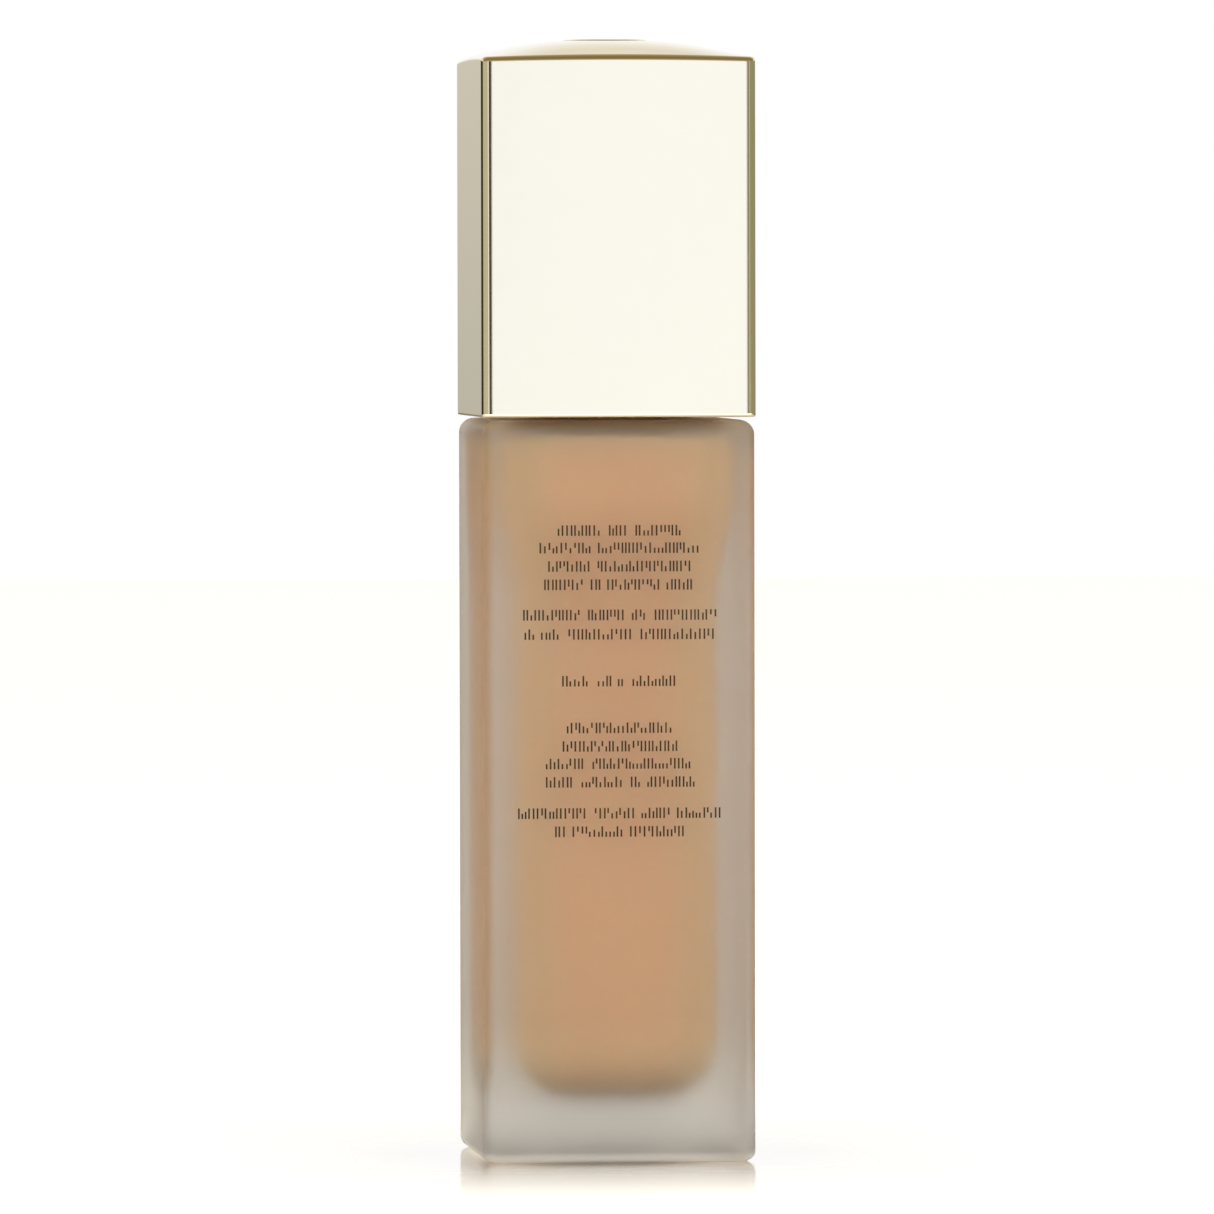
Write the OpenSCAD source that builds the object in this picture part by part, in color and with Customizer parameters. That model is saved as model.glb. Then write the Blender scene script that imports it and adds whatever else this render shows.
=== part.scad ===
// Square glass foundation bottle with a pull-off metal cap and a screw-on dip-tube pump.
// Millimetres, +Z up. The origin is the middle of the base, and the front faces -Y.

/* [Glass bottle] */
// Width and depth of the square glass body
bottle_w = 29.8; // [29.4:0.1:30.8]
// Height of the glass body, from the base to the shoulder
bottle_h = 81; // [78:0.5:90]
// Radius of the four upright edges
bottle_edge_r = 1.3; // [0.8:0.1:2]
// Thickness of the glass walls beside the liquid
bottle_wall = 3.7; // [3.4:0.1:4.4]
// Thickness of the glass below the liquid, in the middle
base_glass = 6.4; // [5.5:0.1:9]
// Thickness of the glass above the liquid, at the shoulder
shoulder_glass = 1.6; // [1.2:0.1:2]

/* [Neck and thread] */
// Height of the neck above the shoulder
neck_h = 10; // [9.6:0.1:10.4]
// Radius of the neck below its thread
neck_r = 8.9; // [8.8:0.05:9]
// Radius of the neck's bore
neck_bore_r = 6.5; // [6:0.1:6.8]
// Rise of the thread in one turn
thread_pitch = 3; // [2.6:0.1:3.2]
// Turns of thread on the neck and in the closure
thread_turns = 1.25; // [1:0.05:1.3]

/* [Cap] */
// How far the cap stands out past the glass on each side
cap_overhang = 0.1; // [0:0.05:0.3]
// Height of the cap's sides
cap_h = 39.2; // [39:0.1:44]
// Height of the domed top's middle above its corners
cap_crown = 2.1; // [0.5:0.1:3]
// Thickness of the cap's metal sides
cap_wall = 1.3; // [1:0.1:1.35]
// Radius of the raised ring on the dome
ring_r = 4.5; // [3:0.1:8]

/* [Pump] */
// Travel of the actuator
stroke = 4.5; // [3.5:0.1:4.6]
// Outer radius of the pump's barrel
barrel_r = 4.6; // [4.4:0.1:5]
// Radius of the pump's chamber
chamber_r = 3.6; // [3.5:0.05:3.7]
// Outer radius of the hollow stem
stem_r = 1.8; // [1.7:0.05:1.9]
// Outer radius of the dip tube
tube_r = 1.9; // [1.6:0.05:2]
// Turns of the return spring
spring_turns = 6.5; // [5:0.5:7]
// Radius of the spring's wire
wire_r = 0.28; // [0.2:0.02:0.3]

/* [Actuator] */
// Radius of the actuator
actuator_r = 8; // [7.6:0.05:8.1]
// Height of the actuator
actuator_h = 14; // [13.6:0.1:14.2]

/* [Hidden] */
$fn = 64;
eps = 0.01;
hull_fn = 32;
// How far a cut runs past the solid it cuts, or a joined piece runs into its neighbour
over = 1;

// Fits and gaps
running_fit = 0.05;
press_gap = 0.02;
sliding_gap = 0.08;
wide_gap = 0.3;
liquid_film = 0.05;

// Glass body: rounding of its rims, and its cavity
top_rim_r = 1.6;
base_rim_r = 1.2;
cavity_half = bottle_w / 2 - bottle_wall;
cavity_corner_r = 5;
cavity_flare = 1.8;
flare_low_z = bottle_h - 15.5;
flare_high_z = bottle_h - 6.5;
cavity_top_z = bottle_h - shoulder_glass;
cavity_top_round = 0.8;
cavity_taper = 0.3;
flare_tuck = 0.2;
flare_lap = 1;
floor_r = 6.5;
floor_sag = 0.2;
slab = 0.1;
recess_r = 9;
recess_depth = 0.45;
label_r = 8.6;
label_t = 0.1;

// Neck, thread and the parts stacked on the neck
neck_top_z = bottle_h + neck_h;
ridge_depth = 0.9;
ridge_root_half = 0.9;
ridge_crest_half = 0.3;
ridge_embed = 0.3;
ridge_steps = 44;
ridge_start = 20;
thread_z = bottle_h + 3;
gasket_t = 0.8;
gasket_r = 8.7;
gasket_bore_r = barrel_r + 2;
flange_t = 1.2;
flange_z = neck_top_z + gasket_t;
deck_z = flange_z + flange_t;
deck_t = 1.2;
deck_hole_r = 5.8;
fill_h = 1.5;
fill_z = bottle_h + fill_h;

// Closure and its metal sleeve
closure_r = 11.45;
closure_bore_r = neck_r + ridge_depth + wide_gap;
closure_low_z = bottle_h + 2 * wide_gap;
sleeve_in_r = 11.5;
sleeve_r = 12;
sleeve_top_z = deck_z + 7.8;
sleeve_lip_r = actuator_r + 2 * wide_gap;
sleeve_lip_t = 0.8;
sleeve_round_r = 0.3;

// Cap
cap_half = bottle_w / 2 + cap_overhang;
cap_low_z = bottle_h + wide_gap;
cap_edge_z = cap_low_z + cap_h;
cap_edge_r = 0.9;
cap_inner_half = cap_half - cap_wall;
cap_inner_r = 0.6;
cap_top_t = 1.3;
cap_ceiling_z = cap_edge_z - cap_top_t;
dome_rings = 10;
side_steps = 8;
corner_steps = 4;
dome_power = 2.4;
dome_arch = 0.2;
bead_w = 0.3;
bead_h = 0.09;
liner_gap = 0.1;
liner_half = cap_inner_half - liner_gap;
liner_r = 13.2;
liner_bore_r = 12.3;
liner_rib_r = sleeve_r + sliding_gap;
liner_low_z = cap_low_z + 0.7;
liner_flange_t = 1.2;
liner_top_t = 1.1;
liner_top_z = cap_ceiling_z - liner_gap;
rib_t = 0.9;
grip_ribs = 8;
grip_low_z = sleeve_top_z - 12;
grip_h = 14;

// Pump body, whose spring keeps spring_room between the ledge and the rod's head with the stem down
rod_head_z = deck_z - 9;
spring_room = 5;
ledge_z = rod_head_z - stroke - spring_room;
ball_room_h = 3.5;
barrel_low_z = ledge_z - ball_room_h;
ball_r = 1.2;
ball_room_r = 1.6;
ball_seat_r = 0.9;
ball_seat_z = barrel_low_z + 0.8;
ball_z = ball_seat_z + sqrt(ball_r * ball_r - ball_seat_r * ball_seat_r) + 0.03;
nib_count = 3;
nib_in_r = 0.95;
nib_w = 0.5;
nib_h = 0.3;
tube_top_z = barrel_low_z - 0.5;
spigot_low_z = barrel_low_z - 7;
spigot_r = tube_r + 0.8;
tube_bore_r = tube_r - 0.6;
tube_low_z = base_glass + 0.9;
tube_clearance = 0.5;
tube_cut_angle = 35;
vent_r = 0.35;
vent_z = deck_z - 5;
retainer_plug_r = chamber_r - press_gap;
retainer_low_z = deck_z - 3.9;
retainer_flange_r = 5.5;
retainer_flange_t = 1.6;
retainer_top_z = deck_z + 2.4;
retainer_top_r = 2.9;
retainer_bore_r = stem_r + sliding_gap;

// Stem, rod and piston
rod_head_t = 1.5;
rod_head_r = 2.9;
rod_pilot_r = 2;
rod_pilot_h = 1.5;
rod_shank_r = stem_r - running_fit;
stem_bore_r = 1;
rod_plug_r = stem_bore_r - press_gap;
rod_plug_h = 4;
duct_r = 0.5;
port_r = 0.3;
stem_low_z = deck_z - 3.8;
stem_top_z = deck_z + 13.5;
port_z = rod_head_z + rod_head_t + 0.45;
seal_low_z = rod_head_z + rod_head_t + running_fit;
seal_h = 2.65;
seal_r = chamber_r - press_gap;
seal_bore_r = stem_r;
lip_depth = 0.9;
lip_t = 0.45;

// Return spring
spring_r = 2.75;
spring_low_z = ledge_z + wire_r + press_gap;
spring_high_z = rod_head_z - wire_r - press_gap;
end_turn = 0.75;
wire_sides = 8;
steps_a_turn = 20;

// Actuator
skirt_z = sleeve_top_z - 1.4;
actuator_top_z = skirt_z + actuator_h;
actuator_wall = 1;
actuator_round_r = 0.8;
ceiling_z = actuator_top_z - 2.2;
dish_r = 30;
dish_depth = 0.8;
core_r = 3;
core_low_z = deck_z + 7.5;
core_high_z = ceiling_z - liner_gap;
socket_bore_r = stem_r + running_fit;
fin_low_z = core_low_z + 3.5;
fin_t = 0.8;
outlet_z = ceiling_z - 2.6;
outlet_r = 2.2;
outlet_reach = 0.6;
outlet_end = actuator_r + outlet_reach;
outlet_duct_r = 0.9;
nozzle_r = 1.5;
nozzle_tip = 11.4;
nozzle_seat = actuator_r - 2.5;
nozzle_bore_r = 0.6;
nozzle_collar_w = 0.8;
nozzle_tip_t = 1.5;

// A square with round corners, centred on the origin
module rounded_square(half, r) {
    square([2 * half, 2 * (half - r)], center = true);
    square([2 * (half - r), 2 * half], center = true);
    for (x = [-1, 1], y = [-1, 1])
        translate([x * (half - r), y * (half - r)])
            circle(r);
}

// A rectangle standing on z = 0, with its own radius at the top and at the base
module upright_outline(half, height, top_r, base_r) {
    translate([-half, base_r])
        square([2 * half, height - top_r - base_r]);
    translate([base_r - half, 0])
        square([2 * (half - base_r), height / 2]);
    translate([top_r - half, height / 2])
        square([2 * (half - top_r), height / 2]);
    for (x = [-1, 1]) {
        translate([x * (half - base_r), base_r])
            circle(base_r);
        translate([x * (half - top_r), height - top_r])
            circle(top_r);
    }
}

// A rod along Z, from z = low to z = high
module rod(r, low, high) {
    translate([0, 0, low])
        cylinder(h = high - low, r = r);
}

// A tube round the Z axis, from z = low to z = high
module ring(r_out, r_in, low, high) {
    difference() {
        rod(r_out, low, high);
        rod(r_in, low - over, high + over);
    }
}

// Sweeps an anticlockwise (radius, height) outline round the Z axis, through the heights listed
module helix_sweep(outline, turns, heights) {
    sides = len(outline);
    steps = len(heights) - 1;
    points = [for (i = [0:steps], p = outline)
        let (angle = 360 * turns * i / steps)
        [p[0] * cos(angle), p[0] * sin(angle), p[1] + heights[i]]];
    skin = [for (i = [0:steps - 1], j = [0:sides - 1])
        let (a = i * sides + j, b = i * sides + (j + 1) % sides)
        each [[a, b, b + sides], [a, b + sides, a + sides]]];
    start = [[for (j = [sides - 1:-1:0]) j]];
    finish = [[for (j = [0:sides - 1]) steps * sides + j]];
    polyhedron(points, concat(skin, start, finish), convexity = 10);
}

// A right-hand thread ridge that stands out from a root radius to a crest radius
module thread_ridge(root_r, crest_r, z) {
    embed_r = root_r + (root_r > crest_r ? ridge_embed : -ridge_embed);
    half = ridge_root_half;
    tip = ridge_crest_half;
    section = [[embed_r, -half], [crest_r, -tip], [crest_r, tip], [embed_r, half]];
    outline = crest_r > root_r ? section : [for (i = [3:-1:0]) section[i]];
    heights = [for (i = [0:ridge_steps]) z + thread_pitch * thread_turns * i / ridge_steps];
    rotate([0, 0, ridge_start])
        helix_sweep(outline, thread_turns, heights);
}

// The space inside the glass below the neck, made smaller all round by inset
module cavity(inset) {
    wide = cavity_half + cavity_flare - inset;
    middle = cavity_half + cavity_taper - inset;
    narrow = cavity_half - inset;
    top_z = cavity_top_z - inset;
    floor_z = base_glass + inset;
    floor_reach = narrow - floor_r;
    hull() {
        cavity_slab(wide - cavity_top_round, top_z - slab);
        cavity_slab(wide, top_z - slab - cavity_top_round);
        cavity_slab(wide, flare_high_z);
        cavity_slab(middle - flare_tuck, flare_low_z - flare_lap);
    }
    hull() {
        cavity_slab(middle, flare_low_z);
        cavity_slab(narrow, base_glass + 2 * floor_r);
        for (x = [-1, 1], y = [-1, 1])
            translate([x * floor_reach, y * floor_reach, floor_z + floor_r + floor_sag])
                sphere(floor_r, $fn = hull_fn);
        translate([0, 0, floor_z + floor_r])
            sphere(floor_r, $fn = hull_fn);
    }
}

// The four corners of one level of the cavity
module cavity_slab(half, z) {
    reach = half - cavity_corner_r;
    for (x = [-1, 1], y = [-1, 1])
        translate([x * reach, y * reach, z])
            cylinder(h = slab, r = cavity_corner_r, $fn = hull_fn);
}

module glass_bottle() {
    color([0.86, 0.82, 0.76, 0.6])
        difference() {
            union() {
                intersection() {
                    linear_extrude(bottle_h)
                        rounded_square(bottle_w / 2, bottle_edge_r);
                    side_profile();
                    rotate([0, 0, 90])
                        side_profile();
                }
                rod(neck_r, bottle_h - over, neck_top_z);
                thread_ridge(neck_r, neck_r + ridge_depth, thread_z);
            }
            cavity(0);
            rod(neck_bore_r, cavity_top_z - over, neck_top_z + over);
            rod(recess_r, -over, recess_depth);
        }
}

// The bottle's outline from the front, extruded through its depth
module side_profile() {
    rotate([90, 0, 0])
        linear_extrude(bottle_w + 2 * over, center = true)
            upright_outline(bottle_w / 2, bottle_h, top_rim_r, base_rim_r);
}

module foundation_liquid() {
    color([0.75, 0.59, 0.44])
        difference() {
            union() {
                cavity(liquid_film);
                rod(neck_bore_r - liquid_film, cavity_top_z - over, fill_z);
            }
            rod(barrel_r + wide_gap, barrel_low_z - wide_gap, fill_z + over);
            rod(spigot_r + wide_gap, spigot_low_z - wide_gap, barrel_low_z);
            rod(tube_r + wide_gap, tube_low_z - tube_clearance, spigot_low_z);
        }
}

module base_label() {
    color([0.94, 0.93, 0.9])
        rod(label_r, recess_depth - label_t, recess_depth);
}

// Height of the dome over a point given in half-widths of the cap
function dome_height(u, v) =
    dome_arch * (1 - u * u * v * v)
    + (cap_crown - dome_arch) * (1 - pow(abs(u), dome_power)) * (1 - pow(abs(v), dome_power));

// Points round a square with round corners, anticlockwise from above
function square_outline(half, r) =
    let (reach = half - r, corners = [[1, 1], [-1, 1], [-1, -1], [1, -1]])
    [for (q = [0:3])
        let (from = reach * corners[q] + r * [cos(90 * q + 90), sin(90 * q + 90)],
             to = reach * corners[(q + 1) % 4] + r * [cos(90 * q + 90), sin(90 * q + 90)])
        each concat(
            [for (k = [0:corner_steps])
                let (angle = 90 * (q + k / corner_steps))
                reach * corners[q] + r * [cos(angle), sin(angle)]],
            [for (j = [1:side_steps - 1]) from + (to - from) * j / side_steps])];

// A block with the cap's outline and its pillow-shaped dome
module cap_block() {
    outline = square_outline(cap_half, cap_edge_r);
    count = len(outline);
    top = [for (k = [0:dome_rings - 1], p = outline)
        let (q = p * (1 - k / dome_rings))
        [q[0], q[1], cap_edge_z + dome_height(q[0] / cap_half, q[1] / cap_half)]];
    middle = [[0, 0, cap_edge_z + cap_crown]];
    foot = [for (p = outline) [p[0], p[1], cap_low_z]];
    bottom = [[0, 0, cap_low_z]];
    apex = len(top);
    centre = apex + 1 + count;
    slopes = [for (k = [0:dome_rings - 2], j = [0:count - 1])
        let (a = k * count + j, b = k * count + (j + 1) % count)
        each [[a, a + count, b + count], [a, b + count, b]]];
    peak = [for (j = [0:count - 1]) [apex - count + j, apex, apex - count + (j + 1) % count]];
    walls = [for (j = [0:count - 1])
        let (next = (j + 1) % count)
        [j, next, apex + 1 + next, apex + 1 + j]];
    base = [for (j = [0:count - 1]) [apex + 1 + j, apex + 1 + (j + 1) % count, centre]];
    polyhedron(concat(top, middle, foot, bottom), concat(slopes, peak, walls, base), convexity = 4);
}

module cap_shell() {
    bead_z = cap_edge_z + dome_height(ring_r / cap_half, 0) + bead_h;
    color([0.86, 0.78, 0.62])
        difference() {
            union() {
                cap_block();
                ring(ring_r + bead_w / 2, ring_r - bead_w / 2, cap_edge_z, bead_z);
            }
            translate([0, 0, cap_low_z - over])
                linear_extrude(cap_ceiling_z - cap_low_z + over)
                    rounded_square(cap_inner_half, cap_inner_r);
        }
}

module cap_liner() {
    color([0.9, 0.88, 0.84])
        difference() {
            union() {
                rod(liner_r, liner_low_z, liner_top_z);
                translate([0, 0, liner_low_z])
                    linear_extrude(liner_flange_t)
                        rounded_square(liner_half, cap_inner_r);
                translate([0, 0, liner_top_z - liner_top_t])
                    linear_extrude(liner_top_t)
                        rounded_square(liner_half, cap_inner_r);
                intersection() {
                    translate([0, 0, liner_low_z])
                        linear_extrude(liner_top_z - liner_low_z)
                            rounded_square(liner_half, cap_inner_r);
                    liner_fins();
                }
            }
            rod(liner_bore_r, liner_low_z - over, liner_top_z - liner_top_t);
        }
    color([0.9, 0.88, 0.84])
        grips();
}

// Two diagonal webs that reach from corner to corner of the liner
module liner_fins() {
    for (angle = [45, 135])
        rotate([0, 0, angle])
            translate([-2 * liner_half, -rib_t / 2, liner_low_z])
                cube([4 * liner_half, rib_t, liner_top_z - liner_low_z]);
}

// Thin upright ribs inside the liner, which grip the sleeve
module grips() {
    difference() {
        intersection() {
            rod(liner_bore_r + rib_t / 2, grip_low_z, grip_low_z + grip_h);
            for (i = [0:grip_ribs - 1])
                rotate([0, 0, (i + 0.5) * 360 / grip_ribs])
                    translate([0, -rib_t / 2, grip_low_z])
                        cube([liner_r, rib_t, grip_h]);
        }
        rod(liner_rib_r, grip_low_z - over, grip_low_z + grip_h + over);
    }
}

module actuator_shell() {
    color([0.83, 0.74, 0.56])
        difference() {
            rotate_extrude() {
                translate([0, skirt_z])
                    square([actuator_r, actuator_h - actuator_round_r]);
                translate([0, skirt_z])
                    square([actuator_r - actuator_round_r, actuator_h]);
                translate([actuator_r - actuator_round_r, actuator_top_z - actuator_round_r])
                    circle(actuator_round_r);
            }
            rod(actuator_r - actuator_wall, skirt_z - over, ceiling_z);
            translate([0, 0, actuator_top_z - dish_depth + dish_r])
                sphere(dish_r);
            along_outlet(outlet_r + running_fit, core_r, actuator_r + over);
        }
}

// A rod along -Y at the height of the outlet
module along_outlet(r, from, to) {
    translate([0, -from, outlet_z])
        rotate([90, 0, 0])
            cylinder(h = to - from, r = r);
}

module actuator_core() {
    color([0.93, 0.92, 0.9])
        difference() {
            union() {
                rod(core_r, core_low_z, core_high_z);
                along_outlet(outlet_r, 0, outlet_end);
                for (angle = [0, 90, 180])
                    rotate([0, 0, angle])
                        translate([0, -fin_t / 2, fin_low_z])
                            cube([actuator_r - actuator_wall - running_fit, fin_t, core_high_z - fin_low_z]);
            }
            rod(socket_bore_r, core_low_z - over, stem_top_z + running_fit);
            rod(stem_bore_r, stem_top_z, outlet_z + stem_bore_r);
            along_outlet(outlet_duct_r, 0, outlet_end + over);
            along_outlet(nozzle_r + press_gap, nozzle_seat, outlet_end + over);
        }
}

module nozzle_insert() {
    color([0.83, 0.74, 0.56])
        difference() {
            union() {
                along_outlet(nozzle_r, nozzle_seat + press_gap, nozzle_tip);
                along_outlet(outlet_r, outlet_end + press_gap, outlet_end + nozzle_collar_w);
            }
            along_outlet(nozzle_bore_r, 0, nozzle_tip + over);
            along_outlet(outlet_duct_r, 0, nozzle_tip - nozzle_tip_t);
        }
}

module collar_sleeve() {
    color([0.83, 0.74, 0.56])
        rotate_extrude() {
            translate([sleeve_in_r, closure_low_z])
                square([sleeve_r - sleeve_in_r, sleeve_top_z - sleeve_round_r - closure_low_z]);
            translate([sleeve_lip_r, sleeve_top_z - sleeve_lip_t])
                square([sleeve_r - sleeve_round_r - sleeve_lip_r, sleeve_lip_t]);
            translate([sleeve_r - sleeve_round_r, sleeve_top_z - sleeve_round_r])
                circle(sleeve_round_r);
        }
}

module screw_closure() {
    color([0.92, 0.91, 0.88]) {
        difference() {
            rod(closure_r, closure_low_z, deck_z + deck_t);
            rod(closure_bore_r, closure_low_z - over, deck_z);
            rod(deck_hole_r, deck_z - over, deck_z + deck_t + over);
        }
        thread_ridge(closure_bore_r, closure_bore_r - ridge_depth, thread_z - thread_pitch / 2);
    }
}

module neck_gasket() {
    color([0.85, 0.85, 0.83])
        ring(gasket_r, gasket_bore_r, neck_top_z, neck_top_z + gasket_t);
}

module pump_housing() {
    color([0.94, 0.94, 0.92, 0.9])
        difference() {
            union() {
                rod(gasket_r, flange_z, deck_z);
                rod(barrel_r, barrel_low_z, deck_z);
                rod(spigot_r, spigot_low_z, barrel_low_z + over);
            }
            difference() {
                union() {
                    rod(chamber_r, ledge_z, deck_z + over);
                    rod(ball_room_r, ball_seat_z, ledge_z + over);
                }
                ball_nibs();
            }
            rod(ball_seat_r, tube_top_z - over, ball_seat_z + over);
            rod(tube_r + press_gap, spigot_low_z - over, tube_top_z);
            translate([0, 0, vent_z])
                rotate([0, 90, 0])
                    cylinder(h = barrel_r + over, r = vent_r);
        }
}

// Small stops that keep the ball in its room
module ball_nibs() {
    for (i = [0:nib_count - 1])
        rotate([0, 0, i * 360 / nib_count])
            translate([nib_in_r, -nib_w / 2, ledge_z - nib_h])
                cube([ball_room_r, nib_w, nib_h]);
}

module stem_retainer() {
    color([0.88, 0.88, 0.86])
        difference() {
            union() {
                rod(retainer_plug_r, retainer_low_z, deck_z + eps);
                rod(retainer_flange_r, deck_z, deck_z + retainer_flange_t);
                rod(retainer_top_r, deck_z, retainer_top_z);
            }
            rod(retainer_bore_r, retainer_low_z - over, retainer_top_z + over);
        }
}

module pump_stem() {
    color([0.95, 0.95, 0.93])
        ring(stem_r, stem_bore_r, stem_low_z, stem_top_z);
}

module piston_rod() {
    color([0.92, 0.92, 0.9])
        difference() {
            union() {
                rod(rod_pilot_r, rod_head_z - rod_pilot_h, rod_head_z);
                rod(rod_head_r, rod_head_z, rod_head_z + rod_head_t);
                rod(rod_shank_r, rod_head_z, stem_low_z);
                rod(rod_plug_r, rod_head_z, stem_low_z + rod_plug_h);
            }
            rod(duct_r, port_z, stem_low_z + rod_plug_h + over);
            translate([0, 0, port_z])
                rotate([0, 90, 0])
                    cylinder(h = 2 * (stem_r + over), r = port_r, center = true);
        }
}

module piston_seal() {
    high_z = seal_low_z + seal_h;
    color([0.9, 0.86, 0.75])
        difference() {
            rod(seal_r, seal_low_z, high_z);
            rod(seal_bore_r, seal_low_z - over, high_z + over);
            ring(seal_r - lip_t, seal_bore_r + lip_t, seal_low_z - over, seal_low_z + lip_depth);
            ring(seal_r - lip_t, seal_bore_r + lip_t, high_z - lip_depth, high_z + over);
        }
}

// Height of the spring's wire after a number of turns: its end turns lie nearly flat
function spring_height(turn) =
    let (rise = spring_high_z - spring_low_z, dead = 2 * wire_r * end_turn)
    turn < end_turn ? spring_low_z + 2 * wire_r * turn
    : turn > spring_turns - end_turn ? spring_high_z - 2 * wire_r * (spring_turns - turn)
    : spring_low_z + dead + (rise - 2 * dead) * (turn - end_turn) / (spring_turns - 2 * end_turn);

module return_spring() {
    steps = ceil(spring_turns * steps_a_turn);
    wire = [for (k = [0:wire_sides - 1])
        [spring_r + wire_r * cos(360 * k / wire_sides), wire_r * sin(360 * k / wire_sides)]];
    heights = [for (i = [0:steps]) spring_height(spring_turns * i / steps)];
    color([0.75, 0.76, 0.78])
        helix_sweep(wire, spring_turns, heights);
}

module check_ball() {
    color([0.8, 0.82, 0.84])
        translate([0, 0, ball_z])
            sphere(ball_r);
}

module dip_tube() {
    cut = 4 * tube_r;
    color([0.93, 0.93, 0.9])
        difference() {
            ring(tube_r, tube_bore_r, tube_low_z, tube_top_z - press_gap);
            translate([tube_r, 0, tube_low_z])
                rotate([0, tube_cut_angle, 0])
                    translate([-cut, -cut / 2, -cut])
                        cube([2 * cut, cut, cut]);
        }
}

glass_bottle();
foundation_liquid();
base_label();
cap_shell();
cap_liner();
actuator_shell();
actuator_core();
nozzle_insert();
collar_sleeve();
screw_closure();
neck_gasket();
pump_housing();
stem_retainer();
pump_stem();
piston_rod();
piston_seal();
return_spring();
check_ball();
dip_tube();
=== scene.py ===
import math
import random

import bpy
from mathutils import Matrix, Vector


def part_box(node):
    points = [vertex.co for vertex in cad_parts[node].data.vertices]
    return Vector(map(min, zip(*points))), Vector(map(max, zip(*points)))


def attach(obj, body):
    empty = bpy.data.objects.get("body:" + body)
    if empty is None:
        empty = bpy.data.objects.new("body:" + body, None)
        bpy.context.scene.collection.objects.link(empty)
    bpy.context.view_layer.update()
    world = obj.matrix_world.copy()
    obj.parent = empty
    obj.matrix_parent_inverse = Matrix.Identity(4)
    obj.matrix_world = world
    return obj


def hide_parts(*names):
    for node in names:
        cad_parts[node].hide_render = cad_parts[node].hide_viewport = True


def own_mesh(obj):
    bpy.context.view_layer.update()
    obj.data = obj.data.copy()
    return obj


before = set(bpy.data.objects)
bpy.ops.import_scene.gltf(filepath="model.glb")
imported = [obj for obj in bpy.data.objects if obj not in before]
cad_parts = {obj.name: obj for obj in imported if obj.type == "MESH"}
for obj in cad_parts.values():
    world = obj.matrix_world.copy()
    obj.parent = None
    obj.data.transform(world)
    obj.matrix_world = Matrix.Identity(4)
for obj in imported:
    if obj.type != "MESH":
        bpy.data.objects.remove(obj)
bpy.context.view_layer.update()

MM = 0.001

# ---------------------------------------------------------------- sizes, from the frame

glass_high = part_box("glass_bottle")[1]
cap_low, cap_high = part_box("cap_shell")
liquid_low, liquid_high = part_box("foundation_liquid")
label_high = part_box("base_label")[1]
sleeve_low, sleeve_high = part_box("collar_sleeve")
barrel_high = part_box("pump_housing")[1]
tube_low, tube_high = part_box("dip_tube")

BODY_HALF = glass_high.x
SHOULDER_Z = cap_low.z - 0.3 * MM
NECK_TOP_Z = glass_high.z
BODY_EDGE_R = 1.3 * MM
TOP_RIM_R = 1.6 * MM
BASE_RIM_R = 1.2 * MM
RECESS_R = label_high.x + 0.4 * MM
RECESS_Z = label_high.z
NECK_R = 8.9 * MM
NECK_BORE_R = 6.5 * MM
THREAD_PITCH = 3.0 * MM
THREAD_TURNS = 1.25
THREAD_DEPTH = 0.9 * MM
THREAD_Z = SHOULDER_Z + 3.0 * MM
THREAD_START = 20

# The CAD liquid stands LIQUID_FILM clear of the glass. The liquid drawn here runs LIQUID_OVERLAP into it.
LIQUID_FILM = 0.05 * MM
LIQUID_OVERLAP = 0.05 * MM
CAVITY_FLARE_HALF = liquid_high.x + LIQUID_FILM
CAVITY_HALF = CAVITY_FLARE_HALF - 1.8 * MM
CAVITY_FLOOR_Z = liquid_low.z - LIQUID_FILM
CAVITY_TOP_Z = SHOULDER_Z - 1.6 * MM
CAVITY_CORNER_R = 5.0 * MM
CAVITY_FLOOR_R = 6.5 * MM
FLARE_LOW_Z = SHOULDER_Z - 20 * MM
FLARE_HEIGHT = 13.5 * MM
FILL_Z = liquid_high.z

CAP_HALF = cap_high.x
CAP_EDGE_R = 0.9 * MM
CAP_RIM_R = 0.45 * MM
CAP_CROWN = 2.1 * MM
CAP_ARCH = 0.2 * MM
CAP_EDGE_Z = cap_high.z - CAP_CROWN
CAP_WALL = 1.3 * MM
CAP_CEILING_Z = CAP_EDGE_Z - 1.3 * MM
DOME_POWER = 2.4
RING_R = 4.5 * MM
RING_HALF_W = 0.15 * MM
RING_HEIGHT = 0.09 * MM

SPRING_WIRE_R = 0.28 * MM
SPRING_TURNS = 6.5

PRINT_DEPTH = 0.02 * MM
STROKE = 0.18 * MM
MARK_H = 1.15 * MM
WORD_GAP = 0.9 * MM

# ---------------------------------------------------------------- looks

# The frosting is painted pale round the clear base and darker and warmer beside the liquid: painted light on
# the base, painted shade on the walls
BASE_PAINTED_LIGHT = (1.0, 0.985, 0.96)
WALL_PAINTED_SHADE = (0.80, 0.77, 0.74)
PAINTED_SHADE_LOW_Z = 5 * MM
PAINTED_SHADE_HIGH_Z = 16 * MM

FLOOR_HALF = 2.5
FLOOR_ROUGHNESS = 0.12
FLOOR_SHINE_REACH = 0.052
FLOOR_BOUNCE = 0.45
# How side-on the floor is seen, 0 to 1, where it starts to mirror and where it mirrors fully
GRAZING = (0.60, 0.92)
# What the metal mirrors of the floor, from FLOOR_TONE_REACH at the front left to as far at the back right
FLOOR_TONE_REACH = 0.6
FLOOR_TONES = [(0.0, (0.95, 0.93, 0.88)), (0.35, (0.70, 0.66, 0.56)), (0.62, (0.46, 0.42, 0.33)),
               (1.0, (0.22, 0.19, 0.13))]

LOW_SHADE = 0.83
THROUGH_GLASS = 0.9
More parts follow.
